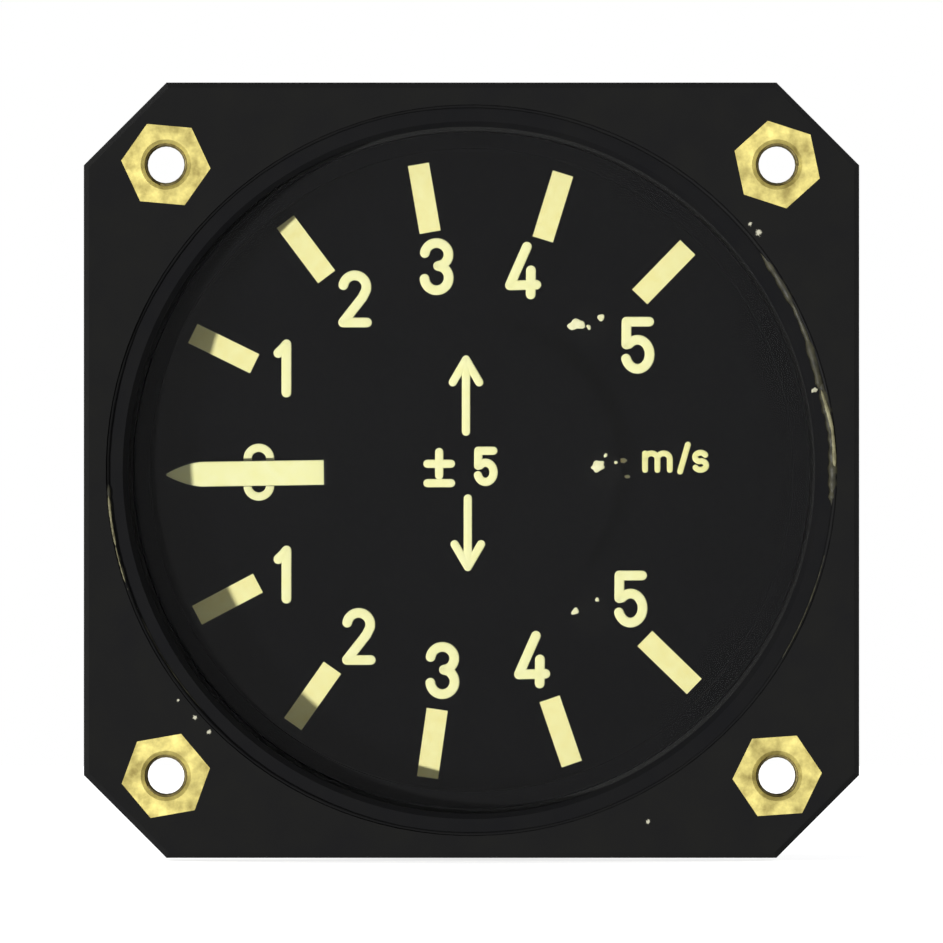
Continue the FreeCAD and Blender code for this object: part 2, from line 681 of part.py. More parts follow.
def make_pointer():
    """Blade with a pointed tip and a broad tail, on a hub pressed onto the shaft."""
    pointer = piece("pointer", POINTER_FRONT)
    blade = sketch_on(pointer)
    half = "(pointer_width / 2)"
    tail = "(tail_width / 2)"
    neck = "(tail_reach_length - tail_length)"
    upper = [("tail_reach_length", tail), (neck, tail), (f"({neck} - {half})", half),
             (f"(pointer_tip_length - {POINTER_REACH})", half)]
    lower = [(x, f"(-{z})") for x, z in reversed(upper)]
    add_outline(blade, upper + [(f"(-{POINTER_REACH})", "0")] + lower)
    blade.setExpression("AttachmentOffset.Rotation.Angle", with_sheet("dial_turn"))
    pad(pointer, blade, "pointer_thickness")
    discs(pointer, "hub_diameter / 2", "0", "pointer_thickness")
    drill(pointer, "hub_spigot_diameter / 2", "0", "pointer_thickness")

    hub = piece("pointer_hub", SHAFT_FRONT)
    proud = f"({POINTER_REAR} - {SHAFT_FRONT})"
    turn(hub, [(SHAFT, "0"), ("hub_spigot_diameter / 2", "0"), ("hub_spigot_diameter / 2", proud),
               ("hub_diameter / 2", proud), ("hub_diameter / 2", f"{proud} + hub_length"),
               (SHAFT, f"{proud} + hub_length")])


def make_shaft():
    """Shaft from the pointer through the chamber to the rear jewel, with a thin rear pivot."""
    shaft = piece("shaft", SHAFT_FRONT)
    shoulder = f"({JEWEL_SCREW_FRONT} - fit_clearance - {SHAFT_FRONT})"
    pivot = "(pivot_diameter / 2)"
    turn(shaft, [("0", "0"), (SHAFT, "0"), (SHAFT, shoulder), (pivot, shoulder),
                 (pivot, f"{shoulder} + pivot_length"), ("0", f"{shoulder} + pivot_length")])


def make_front_bearing():
    """Flanged bush in the chamber's cover with a ring jewel for the shaft."""
    bush = piece("front_bearing", f"{COVER_FRONT} - bush_flange_thickness")
    flange, hole = "bush_flange_diameter / 2", "jewel_diameter / 2"
    rear = "(bush_flange_thickness + plate_thickness)"
    passage = f"{SHAFT} + shaft_clearance"
    turn(bush, [(hole, "0"), (flange, "0"), (flange, "bush_flange_thickness"),
                ("bush_diameter / 2", "bush_flange_thickness"), ("bush_diameter / 2", rear),
                (passage, rear), (passage, "jewel_thickness"), (hole, "jewel_thickness")])
    jewel = piece("front_jewel", f"{COVER_FRONT} - bush_flange_thickness")
    discs(jewel, hole, "0", "jewel_thickness", bore=f"{SHAFT} + bearing_clearance")


def make_vane():
    """Flat vane in a slotted hub that turns in the chamber."""
    length = "(chamber_depth - 2 * vane_clearance)"
    front = f"{CHAMBER_FRONT} + vane_clearance"
    root = f"({VANE_HUB} - vane_root_depth)"
    tip = f"({CHAMBER} - vane_clearance)"
    vane = piece("vane", front)
    plate = sketch_on(vane)
    add_bar(plate, f"({tip} - {root})", "vane_thickness", f"(-({tip} + {root}) / 2)")
    pad(vane, plate, length)
    hub = piece("vane_hub", front)
    discs(hub, VANE_HUB, "0", length, bore=SHAFT)
    slot = sketch_on(hub)
    add_bar(slot, "vane_root_depth", "vane_thickness", f"(vane_root_depth / 2 - {VANE_HUB})")
    pocket(hub, slot, length)


def make_balance():
    """Threaded arm opposite the vane, with the weight that balances it."""
    middle = f"(({DIAL_REAR} + {COVER_FRONT}) / 2)"
    arm = piece("balance_arm", middle)
    discs(arm, "arm_hub_diameter / 2", "-arm_hub_length / 2", "arm_hub_length")
    rod = sketch_on(arm, "YZ_Plane")
    add_circle(rod, "arm_diameter / 2")
    pad(arm, rod, ARM_REACH).Reversed = False
    drill(arm, SHAFT, "-arm_hub_length / 2", "arm_hub_length")
    weight = piece("balance_weight", middle)
    nut = sketch_on(weight, "YZ_Plane", f"({ARM_REACH} - weight_end - weight_length)")
    add_circle(nut, "weight_diameter / 2")
    add_circle(nut, "arm_diameter / 2")
    pad(weight, nut, "weight_length").Reversed = False


# ---------------------------------------------------------------- hairspring and zero setting

def band(points, thickness):
    """The outline of a strip of even thickness along half circles of growing radius."""
    sides = []
    for side in (1, -1):
        arcs = []
        for centre, radius, upper in points:
            reach = radius + side * thickness / 2
            bulge = Vector(reach if upper else -reach, 0, 0)
            ends = [centre + Vector(0, sign * reach, 0) for sign in ((-1, 1) if upper else (1, -1))]
            arcs.append(Part.Arc(ends[0], centre + bulge, ends[1]).toShape())
        sides.append(arcs)
    start = Part.makeLine(sides[0][0].Vertexes[0].Point, sides[1][0].Vertexes[0].Point)
    finish = Part.makeLine(sides[0][-1].Vertexes[-1].Point, sides[1][-1].Vertexes[-1].Point)
    return sides[0] + sides[1] + [start, finish]


def make_hairspring():
    """Flat spiral of half circles, from the collet out to the stud below the axis."""
    pitch = value("spring_pitch")
    first_radius = value(SPRING_START) + pitch / 4
    points = []
    for turned in range(2 * int(value("spring_turns"))):
        upper = turned % 2 == 0
        centre = Vector(0, pitch / 4 if upper else -pitch / 4, 0)
        points.append((centre, first_radius + turned * pitch / 2, upper))
    edges = band(points, value("spring_thickness"))
    wire = Part.Wire(Part.sortEdges(edges)[0])
    spring = document.addObject("Part::Feature", "hairspring")
    spring.Label = "hairspring"
    spring.Shape = Part.Face(wire).extrude(Vector(0, 0, -value("spring_height")))
    seat(spring, SPRING_FRONT)

    collet = piece("spring_collet", f"({SPRING_FRONT} + {SPRING_REAR} - collet_length) / 2")
    discs(collet, "collet_diameter / 2", "0", "collet_length", bore=SHAFT)
    stud = piece("spring_stud", SPRING_FRONT)
    block = sketch_on(stud)
    add_bar(block, "stud_width", "stud_depth", "0", f"(-{STUD_PLACE})")
    pad(stud, block, f"{REGULATOR_FRONT} - {SPRING_FRONT}")
    slit = sketch_on(stud)
    add_bar(slit, "2 * stud_width", "(spring_thickness + 2 * spring_clearance)", "0", f"(-{STUD_PLACE})")
    pocket(stud, slit, "spring_height + spring_clearance")


def tooth_points(teeth, middle):
    """The corners of one involute tooth about the angle middle, from root to root."""
    pressure = math.radians(value("pressure_angle"))
    module = value("gear_module")
    pitch = module * teeth / 2
    base = pitch * math.cos(pressure)
    root = pitch - ROOT_SHARE * module
    tip = pitch + module
    half = (math.pi * module / 2 - value("gear_backlash") / 2) / (2 * pitch)
    flank = []
    for step in range(FLANK_STEPS + 1):
        radius = max(base, root) + (tip - max(base, root)) * step / FLANK_STEPS
        roll = math.acos(base / radius)
        angle = half + (math.tan(pressure) - pressure) - (math.tan(roll) - roll)
        flank.append((radius, angle))
    flank.insert(0, (root, flank[0][1]))
    down = [(radius, middle - angle) for radius, angle in flank]
    up = [(radius, middle + angle) for radius, angle in reversed(flank)]
    return [Vector(r * math.cos(a), r * math.sin(a), 0) for r, a in down + up]


def make_regulator():
    """Arm that carries the hairspring's stud, turned by a toothed sector about the bridge's boss."""
    teeth = int(value("sector_teeth"))
    kept = int(value("sector_kept"))
    thickness = value("regulator_thickness")
    rim = []
    for tooth in range(kept):
        middle = math.pi / 2 + 2 * math.pi / teeth * (tooth - (kept - 1) / 2)
        rim += tooth_points(teeth, middle)
    outline = [Vector()] + rim + [Vector()]
    back = Vector(0, 0, -thickness)
    sector = Part.Face(Part.makePolygon(outline)).extrude(back)
    ring = Part.makeCylinder(value("regulator_ring_diameter / 2"), thickness, back)
    width = value("regulator_arm_width")
    reach = value(f"{STUD_PLACE} + stud_depth / 2")
    arm = Part.makeBox(width, reach, thickness, Vector(-width / 2, -reach, -thickness))
    hole = Part.makeCylinder(value("boss_diameter / 2 + regulator_clearance"), thickness, back)
    regulator = document.addObject("Part::Feature", "regulator_arm")
    regulator.Label = "regulator_arm"
    regulator.Shape = ring.fuse([sector, arm]).cut(hole).removeSplitter()
    seat(regulator, REGULATOR_FRONT)

    clip = piece("regulator_clip", JEWEL_SCREW_FRONT)
    seat_radius = "(boss_diameter / 2 - clip_groove_depth)"
    discs(clip, f"{seat_radius} + clip_width", "0", "clip_thickness", bore=seat_radius)


def make_pinion():
    """Pinion on the zero-setting shaft, in mesh with the regulator's sector."""
    teeth = int(value("pinion_teeth"))
    rim = []
    for tooth in range(teeth):
        rim += tooth_points(teeth, -math.pi / 2 + 2 * math.pi / teeth * (tooth + 0.5))
    back = Vector(0, 0, -value("regulator_thickness"))
    wheel = Part.Face(Part.makePolygon(rim + rim[:1])).extrude(back)
    bore = Part.makeCylinder(value("zero_shaft_diameter / 2"), value("regulator_thickness"), back)
    pinion = document.addObject("Part::Feature", "zero_pinion")
    pinion.Label = "zero_pinion"
    pinion.Shape = wheel.cut(bore)
    seat(pinion, REGULATOR_FRONT, "0", ZERO_PLACE)


def make_bridge():
    """Bridge on two posts, with the boss that the regulator turns on and the rear jewel screw."""
    posts = piece("bridge_posts", PLATE_REAR)
    height = f"({BRIDGE_FRONT} - {PLATE_REAR})"
    discs(posts, "bridge_post_diameter / 2", "0", height, BRIDGE_PLACES)
    discs(posts, SHANK, "-plate_thickness", "plate_thickness", BRIDGE_PLACES)
    drill(posts, SHANK, f"{height} - small_thread_length", "small_thread_length", BRIDGE_PLACES)

    bridge = piece("bridge", BRIDGE_FRONT)
    zero_place = [("0", ZERO_PLACE)]
    bar = sketch_on(bridge)
    add_bar(bar, f"2 * {BRIDGE_POST_X}", "bridge_width")
    pad(bridge, bar, "bridge_thickness")
    upright = sketch_on(bridge)
    add_bar(upright, "bridge_width", ZERO_PLACE, "0", f"{ZERO_PLACE} / 2")
    pad(bridge, upright, "bridge_thickness")
    discs(bridge, "bridge_width / 2", "0", "bridge_thickness", BRIDGE_PLACES)
    discs(bridge, "bridge_width / 2", "0", "bridge_thickness", zero_place)
    collar = f"({BRIDGE_FRONT} - {REGULATOR_FRONT})"
    discs(bridge, "boss_diameter / 2", f"-{collar}", collar)
    discs(bridge, "boss_diameter / 2 - clip_groove_depth", f"(-{collar} - clip_thickness)", "clip_thickness")
    boss_front = f"(-{collar} - clip_thickness)"
    drill(bridge, "jewel_screw_diameter / 2", boss_front, f"bridge_thickness - {boss_front}")
    drill(bridge, "zero_shaft_diameter / 2 + bearing_clearance", "0", "bridge_thickness", zero_place)
    drill(bridge, SHANK, "0", "bridge_thickness", BRIDGE_PLACES)
    shank = "(bridge_thickness + small_thread_length - fit_clearance)"
    screws("bridge_screws", BRIDGE_REAR, BRIDGE_PLACES, shank, head_in_front=False)

    screw = piece("jewel_screw", JEWEL_SCREW_FRONT)
    length = f"({BRIDGE_REAR} - {JEWEL_SCREW_FRONT} + jewel_screw_end_length)"
    discs(screw, "jewel_screw_diameter / 2", "0", length)
    drill(screw, "rear_jewel_diameter / 2", "0", "jewel_thickness")
    slot = sketch_on(screw, offset=f"-({length} - 2 * slot_depth)")
    add_bar(slot, "2 * jewel_screw_diameter", "small_slot_width")
    pocket(screw, slot, "2 * slot_depth")
    jewel = piece("rear_jewel", JEWEL_SCREW_FRONT)
    discs(jewel, "rear_jewel_diameter / 2", "0", "jewel_thickness")
    drill(jewel, "pivot_diameter / 2 + bearing_clearance", "0", "pivot_length - shaft_end_play")
    nut = piece("jewel_nut", BRIDGE_REAR)
    six = sketch_on(nut)
    add_hexagon(six, "jewel_nut_flats")
    pad(nut, six, "jewel_nut_height")
    drill(nut, "jewel_screw_diameter / 2", "0", "jewel_nut_height")


def make_zero_screw():
    """Zero-setting screw from outside the rear cover through its seal to the pinion."""
    place = ("0", ZERO_PLACE)
    screw = piece("zero_screw", REGULATOR_FRONT, *place)
    head_front = f"({LID_REAR} - zero_head_height - {REGULATOR_FRONT})"
    head_rear = f"({head_front} + zero_head_height)"
    shaft = "(zero_shaft_diameter / 2)"
    turn(screw, [("0", "0"), (shaft, "0"), (shaft, head_front), ("zero_head_diameter / 2", head_front),
                 ("zero_head_diameter / 2", head_rear), ("0", head_rear)])
    slot = sketch_on(screw, offset=f"-({head_rear} - 2 * small_slot_width)")
    add_bar(slot, "2 * zero_head_diameter", "2 * small_slot_width", "0", "0", "30")
    pocket(screw, slot, "2 * small_slot_width")
    seal = piece("zero_seal", f"{LID_REAR} - zero_head_height - fit_clearance - zero_seal_thickness", *place)
    bore = f"({shaft} + bearing_clearance)"
    discs(seal, f"{bore} + zero_seal_width", "0", "zero_seal_thickness", bore=bore)
    clip = piece("zero_clip", f"{LID_INNER} - fit_clearance - clip_thickness", *place)
    discs(clip, f"{shaft} + zero_clip_width", "0", "clip_thickness", bore=shaft)


# ---------------------------------------------------------------- rear cover and hose nipples

NIPPLE_PLACES = {"static_nipple": (f"(-{PORT_X})", f"(-{PORT_Z})"), "capacity_nipple": PORT_PLACE}


def make_rear_cover():
    """Rear cover with a spigot in the case, its seal and its three screws."""
    cover = piece("rear_cover", LID_INNER)
    step = f"({LID_FRONT} - {LID_INNER})"
    whole = f"({step} + cover_thickness)"
    turn(cover, [("0", "0"), (PLATE, "0"), (PLATE, step), (BARREL, step),
                 (BARREL, f"{whole} - flange_edge_chamfer"),
                 (f"{BARREL} - flange_edge_chamfer", whole), ("0", whole)])
    drill(cover, "nipple_thread_diameter / 2", "0", whole, NIPPLE_PLACES.values())
    drill(cover, "cover_screw_diameter / 2", "0", whole, LID_SCREW_PLACES)
    head_front = f"({whole} - cover_screw_head_height)"
    drill(cover, "cover_screw_head_diameter / 2", head_front, "cover_screw_head_height", LID_SCREW_PLACES)
    zero_place = [("0", ZERO_PLACE)]
    running = "(zero_shaft_diameter / 2 + bearing_clearance)"
    seal_depth = "(zero_head_height + fit_clearance + zero_seal_thickness)"
    drill(cover, running, "0", whole, zero_place)
    drill(cover, f"{running} + zero_seal_width", f"{whole} - {seal_depth}", seal_depth, zero_place)
    counterbore = "(zero_head_height + fit_clearance)"
    head = "zero_head_diameter / 2 + fit_clearance"
    drill(cover, head, f"{whole} - {counterbore}", counterbore, zero_place)

    seal = piece("cover_seal", CASE_REAR)
    discs(seal, f"{BARREL} - 3 * fit_clearance", "0", "cover_seal_thickness", bore=BORE)

    screw = piece("cover_screws", f"{LID_REAR} - cover_screw_head_height")
    shank = "(cover_screw_length - cover_screw_head_height)"
    discs(screw, "cover_screw_diameter / 2", f"-{shank}", shank, LID_SCREW_PLACES)
    discs(screw, "cover_screw_head_diameter / 2", "0", "cover_screw_head_height", LID_SCREW_PLACES)
    slots = sketch_on(screw, offset="-(cover_screw_head_height - 2 * slot_depth)")
    for (x, z), angle in zip(LID_SCREW_PLACES, LID_SCREW_ANGLES):
        add_bar(slots, "2 * cover_screw_head_diameter", "2 * small_slot_width", x, z, str(angle + 20))
    pocket(screw, slots, "2 * slot_depth")


def make_nipples():
    """Two barbed hose nipples; the capacity one reaches inside for the chamber's hose."""
    for label, (x, z) in NIPPLE_PLACES.items():
        inside = "hose_grip_length" if label == "capacity_nipple" else "0"
        thread_front = f"({LID_INNER} - {LID_REAR})"
        nipple = piece(label, LID_REAR, x, z)
        bore, stem = "nipple_bore_diameter / 2", "nipple_stem_diameter / 2"
        thread, grip = "nipple_thread_diameter / 2", "port_stem_diameter / 2"
        collar_rear = "(washer_thickness + nipple_collar_length)"
        barb = "(nipple_length / (barb_count + 1))"
        profile = [(thread, thread_front), (thread, "washer_thickness"), (stem, "washer_thickness")]
        profile += [(stem, f"({collar_rear} + {barb})")]
        for step in range(int(value("barb_count"))):
            start = f"({collar_rear} + {barb} * {step + 1})"
            profile += [("nipple_barb_diameter / 2", start)]
            profile += [("nipple_barb_diameter / 2", f"{start} + barb_land_length")]
            profile += [(stem, f"({start} + {barb})")]
        profile += [(bore, profile[-1][1]), (bore, f"{thread_front} - {inside}")]
        if label == "capacity_nipple":
            profile += [(grip, f"{thread_front} - {inside}"), (grip, thread_front)]
        turn(nipple, profile)
        six = sketch_on(nipple, offset="-washer_thickness")
        add_hexagon(six, "nipple_flats")
        add_circle(six, bore)
        pad(nipple, six, "nipple_collar_length")
    washers = piece("nipple_washers", LID_REAR)
    discs(washers, "nipple_flats / 2", "0", "washer_thickness", NIPPLE_PLACES.values(),
          bore="nipple_thread_diameter / 2")


# ---------------------------------------------------------------- build, check and write

make_case()
make_flange_inserts()
make_front()
make_dial()
make_hub_cover()
make_chamber()
make_partition()
make_stops()
make_port()
make_pointer()
make_shaft()
make_front_bearing()
make_vane()
make_balance()
make_hairspring()
make_regulator()
make_pinion()
make_bridge()
make_zero_screw()
make_rear_cover()
make_nipples()
document.recompute()

failed = [item.Name for item in document.Objects if "Invalid" in item.State or "Error" in item.State]
if failed:
    raise RuntimeError(f"these objects failed: {failed}")

sub_parts = [item for item in document.Objects if item.TypeId in ("PartDesign::Body", "Part::Feature")]
os.makedirs("parts", exist_ok=True)
for sub_part in sub_parts:
    shape = sub_part.Shape
    if shape.isNull() or not shape.isValid() or not shape.Solids:
        raise RuntimeError(f"{sub_part.Label} has no valid shape")
for sub_part in sub_parts:
    sub_part.Shape.exportStep(f"parts/{sub_part.Label}.step")
    print(f"{sub_part.Label}: {len(sub_part.Shape.Solids)} solid(s), {sub_part.Shape.Volume:.2f} mm3")
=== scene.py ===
"""Glider variometer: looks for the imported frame, in metres, dial facing -Y."""
import json
import math
import bpy
import numpy as np
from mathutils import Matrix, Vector


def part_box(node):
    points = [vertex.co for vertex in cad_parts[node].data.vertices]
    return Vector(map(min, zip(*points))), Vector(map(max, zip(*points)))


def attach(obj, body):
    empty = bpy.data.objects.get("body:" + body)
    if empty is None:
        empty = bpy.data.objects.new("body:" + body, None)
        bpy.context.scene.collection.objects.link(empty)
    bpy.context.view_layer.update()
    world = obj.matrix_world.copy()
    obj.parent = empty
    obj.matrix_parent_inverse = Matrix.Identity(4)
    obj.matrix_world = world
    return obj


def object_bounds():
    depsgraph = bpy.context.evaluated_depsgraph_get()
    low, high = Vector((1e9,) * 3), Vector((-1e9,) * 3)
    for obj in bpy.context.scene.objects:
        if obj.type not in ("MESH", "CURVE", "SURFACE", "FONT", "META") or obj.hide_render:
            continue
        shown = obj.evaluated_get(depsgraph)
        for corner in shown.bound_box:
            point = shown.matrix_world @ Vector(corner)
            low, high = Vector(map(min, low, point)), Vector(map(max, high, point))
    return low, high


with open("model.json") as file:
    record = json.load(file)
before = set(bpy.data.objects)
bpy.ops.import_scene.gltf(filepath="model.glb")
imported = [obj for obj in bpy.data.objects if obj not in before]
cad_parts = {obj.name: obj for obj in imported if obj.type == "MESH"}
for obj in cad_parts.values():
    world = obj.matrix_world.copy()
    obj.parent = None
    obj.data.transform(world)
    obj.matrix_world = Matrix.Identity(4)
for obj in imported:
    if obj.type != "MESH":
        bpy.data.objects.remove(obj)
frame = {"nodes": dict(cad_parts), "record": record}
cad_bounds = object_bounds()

MM = 0.001

# ---------------------------------------------------------------- camera
# Straight in front of the dial, so far off that the flange's width fills 0.82 of the
# frame and the rear of the barrel stays hidden behind the flange.
camera_distance, camera_level = 2.5, -0.0001
width_seen = 0.07296
camera_data = bpy.data.cameras.new("camera")
camera_data.sensor_width = 36.0
camera_data.lens = camera_data.sensor_width * camera_distance / width_seen
camera = bpy.data.objects.new("camera", camera_data)
bpy.context.scene.collection.objects.link(camera)
camera.location = (0.0, -camera_distance, camera_level)
camera.rotation_euler = (math.pi / 2, 0.0, 0.0)
bpy.context.scene.camera = camera
bpy.context.scene.view_settings.view_transform = "Standard"

# ---------------------------------------------------------------- light
# One key from the left and a little below, whose small disc throws the ring's edge on
# to the dial, a dim even world, and two wide lamps that only reach the sides and back.
def lamp(name, towards, strength, disc):
    """A sun whose light travels towards this direction, with a disc of so many degrees."""
    data = bpy.data.lights.new(name, "SUN")
    data.energy = strength
    data.angle = math.radians(disc)
    sun = bpy.data.objects.new(name, data)
    bpy.context.scene.collection.objects.link(sun)
    sun.rotation_euler = Vector(towards).to_track_quat("-Z", "Y").to_euler()


lamp("key", (0.74, 1.0, 0.25), 3.35, 2.5)
lamp("rear_left", (0.75, -0.8, -0.45), 1.9, 40.0)
lamp("rear_right", (-0.8, -0.6, -0.35), 1.4, 40.0)

def node(owner, kind, values=(), **settings):
    """Adds a shader node to a world or material, and sets its properties and sockets."""
    made = owner.node_tree.nodes.new("ShaderNode" + kind)
    for key, setting in settings.items():
        setattr(made, key, setting)
    for key, socket_value in dict(values).items():
        made.inputs[key].default_value = socket_value
    return made


def link(owner, source, target):
    """Joins an output socket to an input socket."""
    owner.node_tree.links.new(source, target)


white = (1.0, 1.0, 1.0, 1.0)
world = bpy.data.worlds.new("studio")
world.use_nodes = True
bpy.context.scene.world = world
world.node_tree.nodes.clear()
world_output = node(world, "OutputWorld")
rays = node(world, "LightPath")
seen = node(world, "Math", operation="MAXIMUM")
link(world, rays.outputs["Is Camera Ray"], seen.inputs[0])
link(world, rays.outputs["Is Glossy Ray"], seen.inputs[1])
through = node(world, "Math", operation="MAXIMUM")
link(world, seen.outputs[0], through.inputs[0])
link(world, rays.outputs["Is Transmission Ray"], through.inputs[1])
dim = node(world, "Background", {"Color": (0.97, 0.98, 1.0, 1.0), "Strength": 0.24})
plain = node(world, "Background", {"Color": white, "Strength": 1.0})
choice = node(world, "MixShader")
link(world, through.outputs[0], choice.inputs["Fac"])
link(world, dim.outputs[0], choice.inputs[1])
link(world, plain.outputs[0], choice.inputs[2])
link(world, choice.outputs[0], world_output.inputs["Surface"])

# ---------------------------------------------------------------- floor
# A plain pale sheet just under the flange. It looks almost white with a soft shadow,
# gloss sees it white, and it throws no more light on the object than the world does.
floor_reach, floor_drop = 0.8, 0.0002
paper = bpy.data.materials.new("floor_sheet")
paper.use_nodes = True
paper.node_tree.nodes.clear()
rays = node(paper, "LightPath")
dull = node(paper, "BsdfDiffuse", {"Color": (0.4, 0.4, 0.4, 1.0)})
bright = node(paper, "BsdfDiffuse", {"Color": (0.9, 0.9, 0.9, 1.0)})
glow = node(paper, "Emission", {"Color": white, "Strength": 0.75})
white_glow = node(paper, "Emission", {"Color": white, "Strength": 1.0})
seen_sheet = node(paper, "AddShader")
link(paper, bright.outputs[0], seen_sheet.inputs[0])
link(paper, glow.outputs[0], seen_sheet.inputs[1])
shining = node(paper, "Math", operation="MAXIMUM")
link(paper, rays.outputs["Is Glossy Ray"], shining.inputs[0])
link(paper, rays.outputs["Is Transmission Ray"], shining.inputs[1])
unseen_sheet = node(paper, "MixShader")
link(paper, shining.outputs[0], unseen_sheet.inputs["Fac"])
link(paper, dull.outputs[0], unseen_sheet.inputs[1])
link(paper, white_glow.outputs[0], unseen_sheet.inputs[2])
sheet = node(paper, "MixShader")
link(paper, rays.outputs["Is Camera Ray"], sheet.inputs["Fac"])
link(paper, unseen_sheet.outputs[0], sheet.inputs[1])
link(paper, seen_sheet.outputs[0], sheet.inputs[2])
link(paper, sheet.outputs[0], node(paper, "OutputMaterial").inputs["Surface"])
floor_level = cad_bounds[0][2] - floor_drop
floor_mesh = bpy.data.meshes.new("floor")
floor_corners = [(-floor_reach, -floor_reach), (floor_reach, -floor_reach),
                 (floor_reach, floor_reach), (-floor_reach, floor_reach)]
floor_mesh.from_pydata([(x, y, floor_level) for x, y in floor_corners], [], [(0, 1, 2, 3)])
floor_mesh.materials.append(paper)
floor = bpy.data.objects.new("floor", floor_mesh)
bpy.context.scene.collection.objects.link(floor)
floor.visible_shadow = False

# ---------------------------------------------------------------- case and rear cover
# The case is a square flange with its barrel in one moulding, and the lid is screwed to
# its rear. Both are black phenolic with a faint cloudy tone and a moulding grain, and a
# few specks of dust show on the flange.
def noise(material, scale, detail=4.0, stretch=(1.0, 1.0, 1.0), seed=0.0):
    """Fractal noise over the object's own coordinates, with cells of about 1 / scale."""
    place = node(material, "TexCoord")
    moved = node(material, "Mapping", {"Scale": stretch, "Location": (seed, seed, seed)})
    link(material, place.outputs["Object"], moved.inputs["Vector"])
    made = node(material, "TexNoise", {"Scale": scale, "Detail": detail, "Roughness": 0.6})
    link(material, moved.outputs["Vector"], made.inputs["Vector"])
    return made.outputs["Fac"]


def between(material, source, low, high, floor=0.0, ceiling=1.0):
    """Maps a value from low..high to floor..ceiling and clamps it."""
    made = node(material, "MapRange", {"From Min": low, "From Max": high,
                                       "To Min": floor, "To Max": ceiling})
    link(material, source, made.inputs["Value"])
    return made.outputs["Result"]


def blended(material, share, first, second):
    """Colour mixed from a first to a second one by a share; either may be a socket."""
    made = node(material, "Mix", data_type="RGBA")
    link(material, share, made.inputs["Factor"])
    for socket, colour in ((made.inputs["A"], first), (made.inputs["B"], second)):
        if isinstance(colour, tuple):
            socket.default_value = (*colour, 1.0)
        else:
            link(material, colour, socket)
    return made.outputs["Result"]


def surface(name, dark, light, patch, rough, grain, height, metallic=0.0, specular=0.5,
            stretch=(1.0, 1.0, 1.0)):
    """Principled material: cloudy colour, uneven roughness and a fine bump.

    dark and light are the two ends of the colour, patch is the clouds' size and grain
    the bump's, both in metres; height is the bump's depth in metres.
    """
    material = bpy.data.materials.new(name)
    material.use_nodes = True
    shader = material.node_tree.nodes["Principled BSDF"]
    shader.inputs["Metallic"].default_value = metallic
    shader.inputs["Specular IOR Level"].default_value = specular
    clouds = noise(material, 1 / patch, stretch=stretch)
    colour = blended(material, between(material, clouds, 0.3, 0.7), dark, light)
    link(material, colour, shader.inputs["Base Color"])
    uneven = noise(material, 0.4 / patch, stretch=stretch, seed=0.37)
    link(material, between(material, uneven, 0.3, 0.7, *rough), shader.inputs["Roughness"])
    fine = noise(material, 1 / grain, detail=2.0, stretch=stretch, seed=0.11)
    bump = node(material, "Bump", {"Strength": 0.6, "Distance": height})
    link(material, fine, bump.inputs["Height"])
    link(material, bump.outputs["Normal"], shader.inputs["Normal"])
    return material


def dress(material, *nodes):
    """Gives the material to these nodes of the frame."""
    for name in nodes:
        for place in frame["nodes"][name].material_slots:
            place.material = material


def speck(material, x, z, size, colour):
    """Mixes a colour over the shader's within a ragged spot about (x, z).

    The share falls with the distance from the point in x and z, times a noise. Depth
    isn't in it, so the spot is a rod along y and shows on every face that it meets.
    """
    place = node(material, "TexCoord")
    flat = node(material, "VectorMath", {1: (1.0, 0.0, 1.0)}, operation="MULTIPLY")
    link(material, place.outputs["Object"], flat.inputs[0])
    gap = node(material, "VectorMath", {1: (x, 0.0, z)}, operation="DISTANCE")
    link(material, flat.outputs[0], gap.inputs[0])
    ragged = node(material, "Math", operation="MULTIPLY")
    link(material, gap.outputs["Value"], ragged.inputs[0])
    link(material, between(material, noise(material, 2.5 / size, seed=x), 0.3, 0.7, 0.6, 1.5),
         ragged.inputs[1])
    share = between(material, ragged.outputs[0], 0.35 * size, 0.6 * size, 1.0, 0.0)
    shader = material.node_tree.nodes["Principled BSDF"]
    before = shader.inputs["Base Color"].links[0].from_socket
    link(material, blended(material, share, before, colour), shader.inputs["Base Color"])


phenolic = surface("phenolic", (0.0090, 0.0090, 0.0095), (0.0112, 0.0112, 0.0104), 0.004,
                   (0.42, 0.6), 0.0003, 0.000004, specular=0.05)
dust_places = [(0.02155, 0.01905, 0.00026), (0.0222, 0.0184, 0.00042),
               (-0.0227, -0.0178, 0.0002), (-0.0214, -0.01915, 0.0003),
               (-0.0203, -0.02025, 0.0003), (0.01365, -0.0272, 0.0003)]
for x, z, size in dust_places:
    speck(phenolic, x, z, size, (0.62, 0.60, 0.46))
dress(phenolic, "case", "rear_cover")

# ---------------------------------------------------------------- brass inserts
# Four hexagonal nuts cut from bar and moulded into the flange for the panel's screws:
# machined brass under a dull mottled film.
insert_brass = surface("insert_brass", (0.30, 0.24, 0.07), (0.92, 0.80, 0.27), 0.0016,
                       (0.28, 0.5), 0.00009, 0.000008, metallic=0.85)
dress(insert_brass, "flange_inserts")

# ---------------------------------------------------------------- retaining ring
# The ring that holds the glass in its recess, turned from metal and enamelled in a
# satin black.
enamel = surface("ring_enamel", (0.0068, 0.0069, 0.0078), (0.0086, 0.0086, 0.0088), 0.003,
                 (0.4, 0.6), 0.0001, 0.000002, specular=0.05)
dress(enamel, "retaining_ring")

# ---------------------------------------------------------------- seals and buffers
# Seals under glass, lid, nipples and zero screw, and the buffers on the vane's stops,
# all cut from dull black rubber.
rubber = surface("rubber", (0.012, 0.012, 0.012), (0.022, 0.021, 0.02), 0.002,
                 (0.75, 0.92), 0.00015, 0.00001, specular=0.1)
dress(rubber, "glass_seal", "cover_seal", "nipple_washers", "zero_seal", "stop_buffers")

